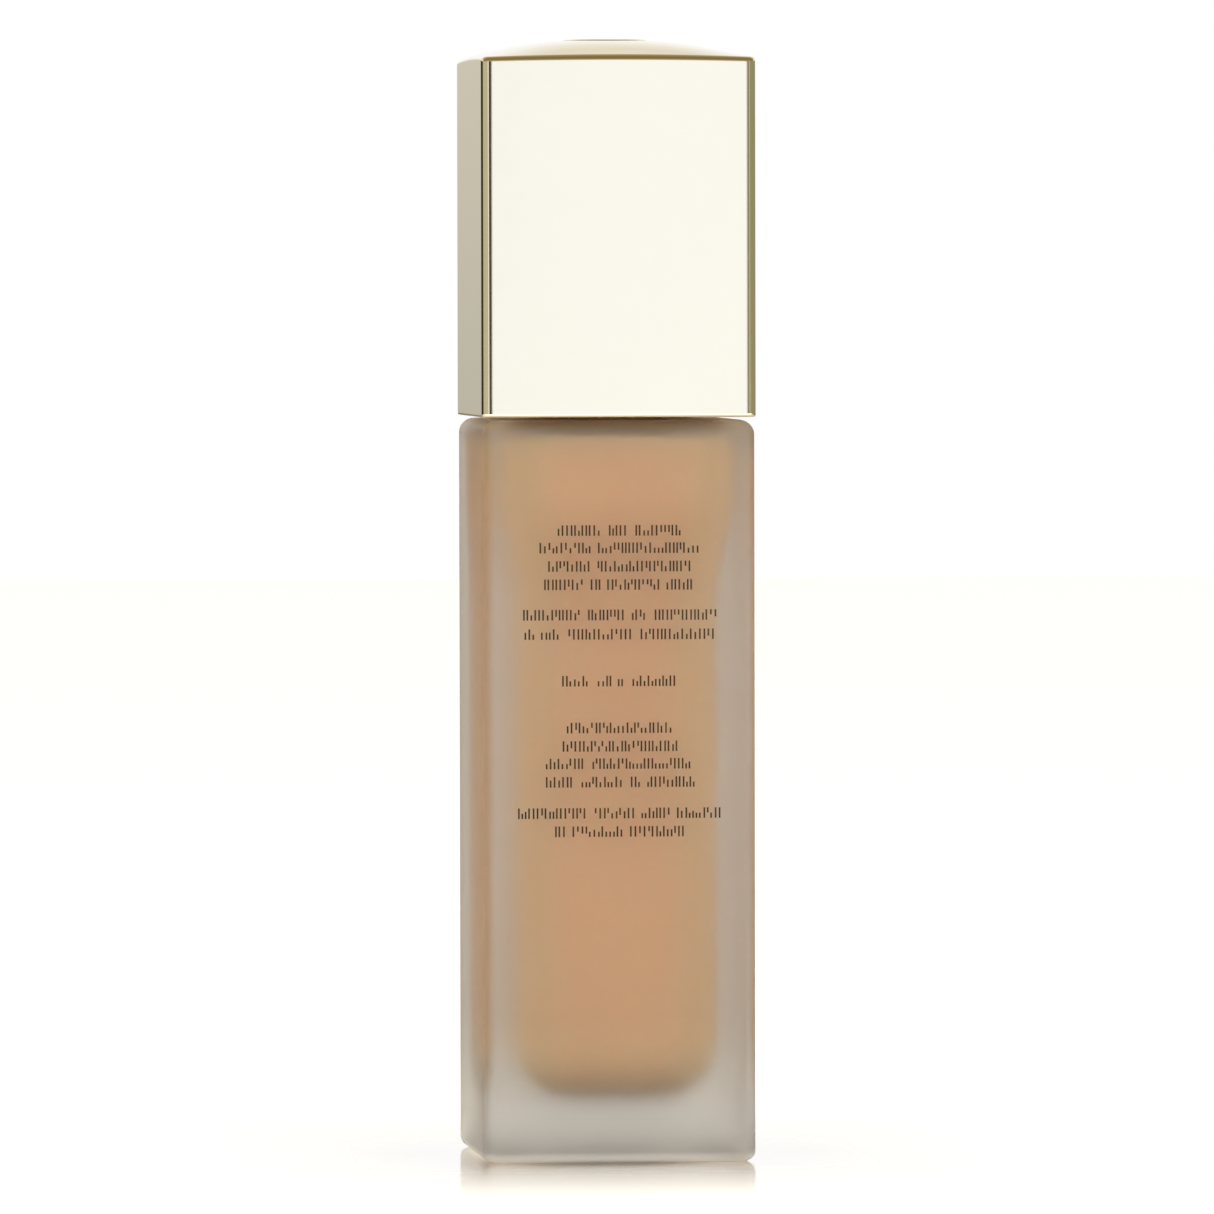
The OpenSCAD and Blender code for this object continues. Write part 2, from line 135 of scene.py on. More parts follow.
# Rise of a direction, as its Z: where the shaded panels end, and where the overhead light takes over
HORIZON = (-0.012, 0.017)
OVERHEAD_START = (0.04, 0.10)
SUN_STRENGTH = 2.4
SOFTBOX_SIZE = 0.9
SOFTBOX_RADIANCE = 6.0


# ---------------------------------------------------------------- mesh helpers

def smoothstep(value):
    value = min(max(value, 0.0), 1.0)
    return value * value * (3 - 2 * value)


def rounded_square(half, radius, corner_steps=8, side_steps=20):
    """Points round a square with round corners, anticlockwise, with close pairs beside each corner."""
    reach = half - radius
    corners = [(reach, reach), (-reach, reach), (-reach, -reach), (reach, -reach)]
    fractions = [0.012] + [k / side_steps for k in range(1, side_steps)] + [0.988]
    points = []
    for quarter in range(4):
        x, y = corners[quarter]
        for step in range(corner_steps + 1):
            angle = math.radians(90 * (quarter + step / corner_steps))
            points.append((x + radius * math.cos(angle), y + radius * math.sin(angle)))
        next_x, next_y = corners[(quarter + 1) % 4]
        turn = math.radians(90 * (quarter + 1))
        start = points[-1]
        end = (next_x + radius * math.cos(turn), next_y + radius * math.sin(turn))
        for t in fractions:
            points.append((start[0] + (end[0] - start[0]) * t, start[1] + (end[1] - start[1]) * t))
    return points


def square_ring(half, radius, z):
    return [Vector((x, y, z)) for x, y in rounded_square(half, radius)]


RING_ANGLES = [math.atan2(y, x) for x, y in rounded_square(BODY_HALF, BODY_EDGE_R)]


def round_ring(radius, z):
    return [Vector((radius * math.cos(a), radius * math.sin(a), z)) for a in RING_ANGLES]


def mix_rings(a, b, share):
    return [p.lerp(q, share) for p, q in zip(a, b)]


def loft(name, rings, start=None, end=None, close=False, slots=None):
    """A mesh through rings of points. start and end are centre points that shut its ends."""
    count = len(rings[0])
    verts = [tuple(p) for ring in rings for p in ring]
    faces, face_slots = [], []
    spans = len(rings) if close else len(rings) - 1
    for r in range(spans):
        low, high = r * count, ((r + 1) % len(rings)) * count
        for j in range(count):
            k = (j + 1) % count
            faces.append((low + j, low + k, high + k, high + j))
            face_slots.append(slots[r] if slots else 0)
    for centre, ring_index, flip in ((start, 0, True), (end, len(rings) - 1, False)):
        if centre is None:
            continue
        tip = len(verts)
        verts.append(tuple(centre))
        for j in range(count):
            a, b = ring_index * count + j, ring_index * count + (j + 1) % count
            faces.append((b, a, tip) if flip else (a, b, tip))
            face_slots.append((slots[0] if flip else slots[-1]) if slots else 0)
    mesh = bpy.data.meshes.new(name)
    mesh.from_pydata(verts, [], faces)
    mesh.polygons.foreach_set("material_index", face_slots)
    mesh.polygons.foreach_set("use_smooth", [True] * len(faces))
    mesh.update()
    piece = bpy.data.objects.new(name, mesh)
    bpy.context.scene.collection.objects.link(piece)
    # Flat faces stay flat in the shading, and only the rounds turn
    piece.modifiers.new("flat_faces", "WEIGHTED_NORMAL").weight = 100
    return piece


def dress(piece, finish, body, node):
    """Gives a piece its finish, and puts it on its body in place of a CAD node."""
    piece.data.materials.append(finish)
    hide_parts(node)
    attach(piece, body)


def arc(centre, radius, from_deg, to_deg, steps=6):
    """(distance, height) points along an arc."""
    return [(centre[0] + radius * math.cos(math.radians(from_deg + (to_deg - from_deg) * k / steps)),
             centre[1] + radius * math.sin(math.radians(from_deg + (to_deg - from_deg) * k / steps)))
            for k in range(steps + 1)]


# ---------------------------------------------------------------- material helpers

def material(name, **values):
    """A Principled material with the values given, its node tree, and its shader."""
    made = bpy.data.materials.new(name)
    made.use_nodes = True
    tree = made.node_tree
    shader = tree.nodes["Principled BSDF"]
    for key, value in values.items():
        shader.inputs[key.replace("_", " ")].default_value = value
    return made, tree, shader


def add_node(tree, kind, **settings):
    node = tree.nodes.new(kind)
    for key, value in settings.items():
        if hasattr(node, key):
            setattr(node, key, value)
        else:
            node.inputs[key.replace("_", " ")].default_value = value
    return node


def noise(tree, scale, detail=3.0, roughness=0.55):
    """Noise over object space, in cycles per metre."""
    place = add_node(tree, "ShaderNodeTexCoord")
    texture = add_node(tree, "ShaderNodeTexNoise", Scale=scale, Detail=detail, Roughness=roughness)
    tree.links.new(place.outputs["Object"], texture.inputs["Vector"])
    return texture.outputs["Fac"]


def remap(tree, value, start, end, low=0.0, high=1.0):
    """Maps start..end to low..high."""
    node = add_node(tree, "ShaderNodeMapRange", From_Min=start, From_Max=end, To_Min=low, To_Max=high)
    tree.links.new(value, node.inputs["Value"])
    return node.outputs["Result"]


def spread(tree, value, low, high):
    """Maps 0..1 to low..high."""
    return remap(tree, value, 0.0, 1.0, low, high)


def maths(tree, operation, *values, clamp=False):
    """The result of a Math node on sockets or plain numbers."""
    node = add_node(tree, "ShaderNodeMath", operation=operation, use_clamp=clamp)
    for socket, value in zip(node.inputs, values):
        if isinstance(value, (int, float)):
            socket.default_value = value
        else:
            tree.links.new(value, socket)
    return node.outputs[0]


def mix_shaders(tree, share, first, second):
    node = add_node(tree, "ShaderNodeMixShader")
    for socket, value in zip(node.inputs, (share, first, second)):
        tree.links.new(value, socket)
    return node.outputs[0]


def mix_colours(tree, share, first, second):
    node = add_node(tree, "ShaderNodeMixRGB")
    for socket, value in zip(node.inputs, (share, first, second)):
        tree.links.new(value, socket)
    return node.outputs["Color"]


def object_place(tree):
    """Object coordinates as a vector, and as its X, Y and Z."""
    place = add_node(tree, "ShaderNodeTexCoord").outputs["Object"]
    parts = add_node(tree, "ShaderNodeSeparateXYZ")
    tree.links.new(place, parts.inputs["Vector"])
    return place, parts.outputs


def blend_colour(tree, value, dark, light):
    ramp = add_node(tree, "ShaderNodeValToRGB")
    ramp.color_ramp.elements[0].color = (*dark, 1)
    ramp.color_ramp.elements[1].color = (*light, 1)
    tree.links.new(value, ramp.inputs["Fac"])
    return ramp.outputs["Color"]


def ramp_node(tree, stops):
    """A colour ramp from (position, grey or colour) stops."""
    ramp = add_node(tree, "ShaderNodeValToRGB")
    elements = ramp.color_ramp.elements
    while len(elements) > 1:
        elements.remove(elements[-1])
    for index, (position, value) in enumerate(stops):
        element = elements[0] if index == 0 else elements.new(position)
        element.position = position
        colour = value if isinstance(value, tuple) else (value, value, value)
        element.color = (*colour, 1)
    return ramp


def bump(tree, shader, value, distance, strength=1.0):
    node = add_node(tree, "ShaderNodeBump")
    node.inputs["Distance"].default_value = distance
    node.inputs["Strength"].default_value = strength
    tree.links.new(value, node.inputs["Height"])
    tree.links.new(node.outputs["Normal"], shader.inputs["Normal"])


# ---------------------------------------------------------------- materials

def glass_material(name, roughness, grain):
    made, tree, shader = material(name, Base_Color=(0.97, 0.95, 0.92, 1), Roughness=roughness, IOR=1.51,
                                  Transmission_Weight=1.0)
    if grain:
        fine = noise(tree, 9000, 2.0)
        rough = spread(tree, noise(tree, 140), roughness - 0.02, roughness + 0.02)
        tree.links.new(rough, shader.inputs["Roughness"])
        bump(tree, shader, fine, 0.004 * MM, 0.35)
        # Painted shade: the frosting's colour darkens and warms from the pale base up onto the walls beside
        # the liquid
        rise = remap(tree, object_place(tree)[1]["Z"], PAINTED_SHADE_LOW_Z, PAINTED_SHADE_HIGH_Z)
        tree.links.new(blend_colour(tree, rise, BASE_PAINTED_LIGHT, WALL_PAINTED_SHADE), shader.inputs["Base Color"])
    haze = add_node(tree, "ShaderNodeVolumeAbsorption")
    haze.inputs["Color"].default_value = (0.90, 0.885, 0.86, 1)
    haze.inputs["Density"].default_value = 50
    tree.links.new(haze.outputs["Volume"], tree.nodes["Material Output"].inputs["Volume"])
    return made


def liquid_material():
    made, tree, shader = material("foundation", Roughness=0.35, IOR=1.38, Subsurface_Weight=1.0,
                                  Subsurface_Scale=6 * MM)
    shader.inputs["Subsurface Radius"].default_value = (1.0, 0.8, 0.65)
    cream = blend_colour(tree, noise(tree, 90, 2.0), (0.735, 0.475, 0.265), (0.77, 0.50, 0.285))
    tree.links.new(cream, shader.inputs["Base Color"])
    return made


def gold_material(name, colour, roughness, grain=0.0):
    made, tree, shader = material(name, Metallic=1.0, Roughness=roughness)
    worn = blend_colour(tree, noise(tree, 60, 2.0), tuple(0.985 * c for c in colour), colour)
    tree.links.new(worn, shader.inputs["Base Color"])
    rough = spread(tree, noise(tree, 400, 4.0), roughness * 0.8, roughness * 1.25)
    tree.links.new(rough, shader.inputs["Roughness"])
    if grain:
        bump(tree, shader, noise(tree, 1500, 3.0), grain)
    return made


def ink_material():
    made, tree, shader = material("ink", Roughness=0.45)
    dark = blend_colour(tree, noise(tree, 3000, 2.0), (0.012, 0.008, 0.006), (0.03, 0.02, 0.014))
    tree.links.new(dark, shader.inputs["Base Color"])
    return made


def plastic_material(name, dark, light, roughness, coarse=900):
    """Moulded plastic: slightly uneven colour, a fine spark-eroded grain and a little light inside."""
    made, tree, shader = material(name, Subsurface_Weight=0.15, Subsurface_Scale=1 * MM, IOR=1.49)
    tree.links.new(blend_colour(tree, noise(tree, 120, 3.0), dark, light), shader.inputs["Base Color"])
    rough = spread(tree, noise(tree, coarse, 4.0), roughness - 0.07, roughness + 0.07)
    tree.links.new(rough, shader.inputs["Roughness"])
    bump(tree, shader, noise(tree, 5000, 2.0), 0.006 * MM, 0.6)
    return made


def turned_metal_material(name, dark, light, roughness):
    """Anodised metal with the fine rings that a lathe leaves round its axis."""
    made, tree, shader = material(name, Metallic=1.0)
    place = add_node(tree, "ShaderNodeTexCoord")
    squash = add_node(tree, "ShaderNodeMapping")
    squash.inputs["Scale"].default_value = (20, 20, 9000)
    tree.links.new(place.outputs["Object"], squash.inputs["Vector"])
    lines = add_node(tree, "ShaderNodeTexNoise", Scale=1.0, Detail=2.0)
    tree.links.new(squash.outputs["Vector"], lines.inputs["Vector"])
    tree.links.new(blend_colour(tree, noise(tree, 150, 3.0), dark, light), shader.inputs["Base Color"])
    rough = spread(tree, lines.outputs["Fac"], roughness - 0.05, roughness + 0.05)
    tree.links.new(rough, shader.inputs["Roughness"])
    bump(tree, shader, lines.outputs["Fac"], 0.003 * MM, 0.5)
    return made


def rubber_material():
    made, tree, shader = material("soft_rubber", IOR=1.5)
    tree.links.new(blend_colour(tree, noise(tree, 400, 4.0), (0.72, 0.71, 0.68), (0.8, 0.79, 0.76)),
                   shader.inputs["Base Color"])
    tree.links.new(spread(tree, noise(tree, 2500, 3.0), 0.55, 0.75), shader.inputs["Roughness"])
    bump(tree, shader, noise(tree, 3500, 2.0), 0.01 * MM, 0.7)
    return made


def film_material():
    made, tree, shader = material("label_film", IOR=1.5)
    tree.links.new(blend_colour(tree, noise(tree, 700, 5.0), (0.80, 0.79, 0.77), (0.87, 0.86, 0.84)),
                   shader.inputs["Base Color"])
    tree.links.new(spread(tree, noise(tree, 1800, 3.0), 0.3, 0.42), shader.inputs["Roughness"])
    bump(tree, shader, noise(tree, 2200, 4.0), 0.004 * MM, 0.5)
    return made


FROSTED = glass_material("frosted_glass", 0.6, True)
CLEAR = glass_material("clear_glass", 0.04, False)
CREAM = liquid_material()
GOLD = gold_material("pale_gold", (0.90, 0.84, 0.70), 0.06)
INK = ink_material()
SATIN_GOLD = turned_metal_material("satin_gold", (0.80, 0.70, 0.50), (0.86, 0.77, 0.57), 0.2)
STEEL = turned_metal_material("steel_wire", (0.50, 0.50, 0.51), (0.60, 0.60, 0.61), 0.22)
BALL_STEEL = gold_material("ball_steel", (0.62, 0.62, 0.63), 0.1)
WHITE_PLASTIC = plastic_material("white_plastic", (0.66, 0.65, 0.62), (0.72, 0.71, 0.68), 0.36)
CLEAR_PLASTIC = plastic_material("milky_plastic", (0.60, 0.61, 0.60), (0.68, 0.69, 0.68), 0.28)
GREY_PLASTIC = plastic_material("liner_plastic", (0.52, 0.50, 0.46), (0.58, 0.56, 0.52), 0.42)
RUBBER = rubber_material()
FILM = film_material()


# ---------------------------------------------------------------- cap

def dome_height(x, y):
    """Height of the cap's pillow-shaped top above its corners."""
    u, v = min(abs(x) / CAP_HALF, 1.0), min(abs(y) / CAP_HALF, 1.0)
    pillow = (1 - u ** DOME_POWER) * (1 - v ** DOME_POWER)
    return CAP_ARCH * (1 - u * u * v * v) + (CAP_CROWN - CAP_ARCH) * pillow


def dome_ring(points, drop=0.0):
    return [Vector((p.x, p.y, CAP_EDGE_Z + dome_height(p.x, p.y) - drop)) for p in points]


def build_cap():
    foot_r = 0.25 * MM
    inner_half = CAP_HALF - CAP_WALL
    inner_r = 0.6 * MM
    low = cap_low.z
    rings = [square_ring(inner_half * share, inner_r * share, CAP_CEILING_Z) for share in (0.3, 0.97)]
    rings += [square_ring(inner_half, inner_r, z)
              for z in (CAP_CEILING_Z - 0.3 * MM, low + 1 * MM, low + 0.2 * MM)]
    rings += [square_ring(inner_half + 0.2 * MM, inner_r + 0.2 * MM, low)]
    for distance, height in arc((CAP_HALF - foot_r, low + foot_r), foot_r, -90, 0):
        rings.append(square_ring(distance, CAP_EDGE_R - (CAP_HALF - distance), height))
    for z in (low + 0.4 * MM, low + 13 * MM, low + 26 * MM):
        rings.append(square_ring(CAP_HALF, CAP_EDGE_R, z))
    outline = square_ring(CAP_HALF, CAP_EDGE_R, 0)
    rings.append(dome_ring(outline, CAP_RIM_R + 0.15 * MM))
    for step in range(9):
        turn = math.radians(90 * step / 8)
        inset = CAP_RIM_R * (1 - math.cos(turn))
        ring = square_ring(CAP_HALF - inset, CAP_EDGE_R - inset, 0)
        rings.append(dome_ring(ring, CAP_RIM_R * (1 - math.sin(turn))))
    edge = square_ring(CAP_HALF - CAP_RIM_R, CAP_EDGE_R - CAP_RIM_R, 0)
    inner_round = 6 * MM
    for step in range(1, 17):
        share = step / 16
        radius = CAP_HALF - CAP_RIM_R + (inner_round - CAP_HALF + CAP_RIM_R) * share
        scale = radius / (CAP_HALF - CAP_RIM_R)
        squarish = [p * scale for p in edge]
        rings.append(dome_ring(mix_rings(squarish, round_ring(radius, 0), smoothstep(share))))
    bead = [(RING_R + RING_HALF_W * math.cos(turn), RING_HEIGHT * math.sin(turn))
            for turn in (math.pi * k / 10 for k in range(11))]
    crown = [(5.4 * MM, 0), (5.0 * MM, 0)] + bead + [(r * MM, 0) for r in (3.8, 3.0, 2.2, 1.4, 0.7)]
    rings += [dome_ring(round_ring(radius, 0), -rise) for radius, rise in crown]
    cap = loft("cap_shell_finished", rings, start=(0, 0, CAP_CEILING_Z), end=(0, 0, CAP_EDGE_Z + CAP_CROWN))
    dress(cap, GOLD, "cap", "cap_shell")


# ---------------------------------------------------------------- bottle and liquid

def cavity_half(z):
    """Half-width of the cavity at a height: straight below, flared under the shoulder."""
    flare = smoothstep((z - FLARE_LOW_Z) / FLARE_HEIGHT)
    return CAVITY_HALF + (CAVITY_FLARE_HALF - CAVITY_HALF) * flare


def cavity_rings(outset):
    """Rings up the cavity, from its floor to its ceiling, moved outwards by outset."""
    floor_r = CAVITY_FLOOR_R
    floor_z = CAVITY_FLOOR_Z - outset
    half = CAVITY_HALF + outset
    rings = []
    for share in (0.25, 0.6, 1.0):
        reach = (half - floor_r) * share
        rings.append(square_ring(reach, reach * 0.4, floor_z + 0.2 * MM * share))
    for distance, height in arc((half - floor_r, floor_z + floor_r + 0.2 * MM), floor_r, -82, 0, 14):
        corner = CAVITY_CORNER_R * max(0.3, (distance - half + floor_r) / floor_r)
        rings.append(square_ring(distance, max(corner, (half - floor_r) * 0.4), height))
    top_r = 0.8 * MM
    ceiling = CAVITY_TOP_Z + outset
    z = floor_z + floor_r + 2 * MM
    while z < ceiling - top_r - 0.5 * MM:
        rings.append(square_ring(cavity_half(z) + outset, CAVITY_CORNER_R, z))
        z += 2 * MM
    for distance, height in arc((CAVITY_FLARE_HALF + outset - top_r, ceiling - top_r), top_r, 0, 90):
        rings.append(square_ring(distance, CAVITY_CORNER_R, height))
    return rings


def thread_height(angle, z):
    """How far the neck's right-hand thread stands out, from 0 to 1, at an angle in radians and a height."""
    best = 0.0
    turned = (math.degrees(angle) - THREAD_START) % 360 / 360
    for turn in range(2):
        along = turned + turn
        if along > THREAD_TURNS:
            continue
        offset = abs(z - THREAD_Z - THREAD_PITCH * along) / MM
        fade = smoothstep(along / 0.06) * smoothstep((THREAD_TURNS - along) / 0.06)
        best = max(best, fade * smoothstep((0.85 - offset) / 0.5))
    return best


def neck_ring(z):
    ring = round_ring(NECK_R, z)
    for point, angle in zip(ring, RING_ANGLES):
        radius = NECK_R + THREAD_DEPTH * thread_height(angle, z)
        point.x, point.y = radius * math.cos(angle), radius * math.sin(angle)
    return ring


def build_glass():
    outer, inner = 0, 1
    rings, slots = [], []

    def add(ring, slot=outer):
        rings.append(ring)
        slots.append(slot)

    for radius in (RECESS_R * 0.4, RECESS_R - 0.15 * MM):
        add(round_ring(radius, RECESS_Z))
    add(round_ring(RECESS_R, RECESS_Z - 0.15 * MM))
    add(round_ring(RECESS_R, 0.12 * MM))
    add(round_ring(RECESS_R + 0.12 * MM, 0))
    for distance, height in arc((BODY_HALF - BASE_RIM_R, BASE_RIM_R), BASE_RIM_R, -90, 0, 8):
        add(square_ring(distance, BODY_EDGE_R * 0.5 + 0.5 * BODY_EDGE_R * (distance / BODY_HALF), height))
    for z in (BASE_RIM_R + 0.3 * MM, 20 * MM, 40 * MM, 60 * MM, SHOULDER_Z - TOP_RIM_R - 0.3 * MM):
        add(square_ring(BODY_HALF, BODY_EDGE_R, z))
    for distance, height in arc((BODY_HALF - TOP_RIM_R, SHOULDER_Z - TOP_RIM_R), TOP_RIM_R, 0, 90, 8):
        add(square_ring(distance, BODY_EDGE_R, height))
    add(round_ring(NECK_R + 0.6 * MM, SHOULDER_Z))
    for distance, height in arc((NECK_R + 0.6 * MM, SHOULDER_Z + 0.6 * MM), 0.6 * MM, 270, 180, 4)[1:]:
        add(round_ring(distance, height))
    steps = 52
    neck_low = SHOULDER_Z + 0.75 * MM
    neck_high = NECK_TOP_Z - 0.5 * MM
    for step in range(steps + 1):
        add(neck_ring(neck_low + (neck_high - neck_low) * step / steps))
    for distance, height in arc((NECK_R - 0.4 * MM, NECK_TOP_Z - 0.4 * MM), 0.4 * MM, 20, 90, 4):
        add(round_ring(distance, height))
    add(round_ring(NECK_BORE_R + 0.3 * MM, NECK_TOP_Z))
    add(round_ring(NECK_BORE_R, NECK_TOP_Z - 0.3 * MM), inner)
    add(round_ring(NECK_BORE_R, CAVITY_TOP_Z + 0.4 * MM), inner)
    add(round_ring(NECK_BORE_R + 0.4 * MM, CAVITY_TOP_Z), inner)
    for ring in reversed(cavity_rings(0)):
        add(ring, inner)
    bottle = loft("glass_bottle_finished", rings, start=(0, 0, RECESS_Z), end=(0, 0, CAVITY_FLOOR_Z),
                  slots=slots)
    dress(bottle, FROSTED, "bottle", "glass_bottle")
    bottle.data.materials.append(CLEAR)


def build_liquid():
    barrel_r = 4.9 * MM
    barrel_foot_z = barrel_high.z - 22.3 * MM
    tube_r = tube_high.x + 0.3 * MM
    tube_foot_z = tube_low.z - 0.4 * MM
    spigot_r = tube_r + 0.8 * MM
    spigot_z = tube_high.z - 6.5 * MM
    rings = cavity_rings(LIQUID_OVERLAP)
    rings += [round_ring(NECK_BORE_R + LIQUID_OVERLAP, z) for z in (CAVITY_TOP_Z + 0.3 * MM, FILL_Z)]
    rings += [round_ring(radius, z) for radius, z in
              ((barrel_r, FILL_Z), (barrel_r, barrel_foot_z), (spigot_r, barrel_foot_z - 0.1 * MM),
               (spigot_r, spigot_z), (tube_r, spigot_z - 0.1 * MM), (tube_r, tube_foot_z))]
    liquid = loft("foundation_finished", rings, start=(0, 0, CAVITY_FLOOR_Z - LIQUID_OVERLAP),
                  end=(0, 0, tube_foot_z))
    dress(liquid, CREAM, "bottle", "foundation_liquid")


# ---------------------------------------------------------------- pump and collar

def rounded_profile(points, closed, steps=4):
    """Rounds the corners of an outline. Each point is (distance, height, radius), in millimetres."""
    count = len(points)
    rounded = []
    for index, (r, z, radius) in enumerate(points):
        here = Vector((r, z))
        if radius == 0 or (not closed and index in (0, count - 1)):
            rounded.append(here)
            continue
        before = Vector(points[index - 1][:2]) - here
        after = Vector(points[(index + 1) % count][:2]) - here
        reach = radius / math.tan(before.angle(after) / 2)
        reach = min(reach, 0.48 * before.length, 0.48 * after.length)
        start, end = here + before.normalized() * reach, here + after.normalized() * reach
        for step in range(steps + 1):
            t = step / steps
            rounded.append(start * (1 - t) ** 2 + here * 2 * t * (1 - t) + end * t * t)
    return rounded


def turned(name, points, closed=True, segments=128):
    """A piece of revolution from an anticlockwise outline of (radius, height, rounding) in millimetres."""
    profile = rounded_profile(points, closed)
    start = end = None
    if not closed:
        start, end = (0, 0, profile[0].y * MM), (0, 0, profile[-1].y * MM)
        profile = profile[1:-1]
    turns = [2 * math.pi * k / segments for k in range(segments)]
    rings = [[Vector((p.x * math.cos(a), p.x * math.sin(a), p.y)) * MM for a in turns] for p in profile]
    return loft(name, rings, start, end, close=closed)


def build_sleeve():
    low, high = sleeve_low.z / MM, sleeve_high.z / MM
    outer, inner, lip_r, lip_t = sleeve_high.x / MM, sleeve_high.x / MM - 0.5, 8.6, 0.8
    sleeve = turned("collar_sleeve_finished", [
        (inner, low, 0.1), (outer, low, 0.2), (outer, high, 0.35), (lip_r, high, 0.2),
        (lip_r, high - lip_t, 0.2), (inner, high - lip_t, 0.2)])
    dress(sleeve, SATIN_GOLD, "closure", "collar_sleeve")


def build_actuator():
    shell_low, shell_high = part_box("actuator_shell")
    low, high, outer = shell_low.z / MM, shell_high.z / MM, shell_high.x / MM
    inner, ceiling = outer - 1.0, high - 2.2
    dish_r, dish_depth = 30.0, 0.8
    rim = math.sqrt(dish_r ** 2 - (dish_r - dish_depth) ** 2)
    dish = [(r, high - dish_depth + dish_r - math.sqrt(dish_r ** 2 - r * r), 0)
            for r in (6.2, 5.2, 4, 2.7, 1.3, 0)]
    shell = turned("actuator_shell_finished", [
        (0, ceiling, 0), (inner, ceiling, 0.5), (inner, low, 0.15), (outer, low, 0.25),
        (outer, high, 0.8), (rim, high, 0.25)] + dish, closed=False)
    dress(shell, SATIN_GOLD, "actuator", "actuator_shell")

    tip_low, tip_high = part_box("nozzle_insert")
    root, tip = -tip_high.y / MM, -tip_low.y / MM
    middle_z = (tip_low.z + tip_high.z) / 2
    collar_r, tube_r, bore = tip_high.x / MM, 1.5, 0.6
    collar_root = outer + 0.62
    nozzle = turned("nozzle_insert_finished", [
        (bore, root, 0.05), (tube_r, root, 0.15), (tube_r, collar_root, 0.02), (collar_r, collar_root, 0.05),
        (collar_r, collar_root + 0.78, 0.3), (tube_r, collar_root + 0.78, 0.12), (tube_r, tip, 0.4),
        (bore, tip, 0.2)], segments=64)
    for vert in nozzle.data.vertices:
        x, y, z = vert.co
        vert.co = (x, -z, middle_z + y)
    dress(nozzle, WHITE_PLASTIC, "actuator", "nozzle_insert")


def build_spring():
    """The return spring, swept finely, with nearly flat end turns."""
    low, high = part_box("return_spring")
    wire, turns, end_turn = SPRING_WIRE_R, SPRING_TURNS, 0.75
    coil_r = high.x - wire
    base, top = low.z + wire, high.z - wire
    dead = 2 * wire * end_turn
    rings = []
    steps = 208
    for step in range(steps + 1):
        turn = turns * step / steps
        if turn < end_turn:
            z = base + 2 * wire * turn
        elif turn > turns - end_turn:
            z = top - 2 * wire * (turns - turn)
        else:
            z = base + dead + (top - base - 2 * dead) * (turn - end_turn) / (turns - 2 * end_turn)
        along = 2 * math.pi * turn
        ring = []
        for side in range(12):
            around = 2 * math.pi * side / 12
            radius = coil_r + wire * math.cos(around)
            ring.append(Vector((radius * math.cos(along), radius * math.sin(along),
                                z + wire * math.sin(around))))
        rings.append(ring)
    first = sum(rings[0], Vector()) / 12
    last = sum(rings[-1], Vector()) / 12
    for ring in rings:
        ring.reverse()
    spring = loft("return_spring_finished", rings, start=first, end=last)
    dress(spring, STEEL, "pump_body", "return_spring")
    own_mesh(spring)


KEPT_NODES = {
    "cap_liner": GREY_PLASTIC, "actuator_core": WHITE_PLASTIC, "screw_closure": WHITE_PLASTIC,
    "neck_gasket": RUBBER, "pump_housing": CLEAR_PLASTIC, "stem_retainer": WHITE_PLASTIC,
    "pump_stem": WHITE_PLASTIC, "piston_rod": WHITE_PLASTIC, "piston_seal": CLEAR_PLASTIC,
    "check_ball": BALL_STEEL, "dip_tube": CLEAR_PLASTIC, "base_label": FILM,
}


def finish_kept_nodes():
    """The CAD parts that stay get a real finish, smooth rounds and sharp corners."""
    for node, finish in KEPT_NODES.items():
        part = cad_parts[node]
        mesh = part.data
        mesh.materials.clear()
        mesh.materials.append(finish)
        mesh.polygons.foreach_set("material_index", [0] * len(mesh.polygons))
        mesh.polygons.foreach_set("use_smooth", [True] * len(mesh.polygons))
        mesh.set_sharp_from_angle(angle=math.radians(32))


# ---------------------------------------------------------------- print

# Lengths of the marks in each row, in millimetres, and the rows' heights above the base
PRINT_ROWS = [
    (69.0, (4.7, 2.0, 4.9)), (67.1, (5.5, 11.0)), (65.1, (4.5, 10.1)), (63.1, (4.2, 0.9, 5.6, 3.0)),
    (59.8, (6.2, 3.9, 1.6, 6.6)), (57.7, (0.9, 2.1, 7.0, 8.0)), (52.6, (3.0, 1.3, 0.7, 4.8)),
    (47.5, (11.5,)), (45.5, (12.4,)), (43.6, (4.2, 11.0)), (41.6, (3.0, 4.5, 0.9, 5.0)),
    (38.2, (7.5, 4.2, 3.0, 4.8)), (36.2, (1.0, 5.4, 5.9)),
]


def stroke(verts, faces, start, end, width):
    """A raised line on the front face from start to end, (x, z) points."""
    along = (Vector(end) - Vector(start)).normalized() * width / 2
    across = Vector((-along.y, along.x))
    corners = [Vector(start) - along - across, Vector(end) + along - across, Vector(end) + along + across,
               Vector(start) - along + across]
    first = len(verts)
    for y in (-BODY_HALF + PRINT_DEPTH / 2, -BODY_HALF - PRINT_DEPTH):
        verts += [(corner.x, y, corner.y) for corner in corners]
    faces += [tuple(first + k for k in quad) for quad in
              ((4, 5, 6, 7), (3, 2, 1, 0), (0, 1, 5, 4), (1, 2, 6, 5), (2, 3, 7, 6), (3, 0, 4, 7))]


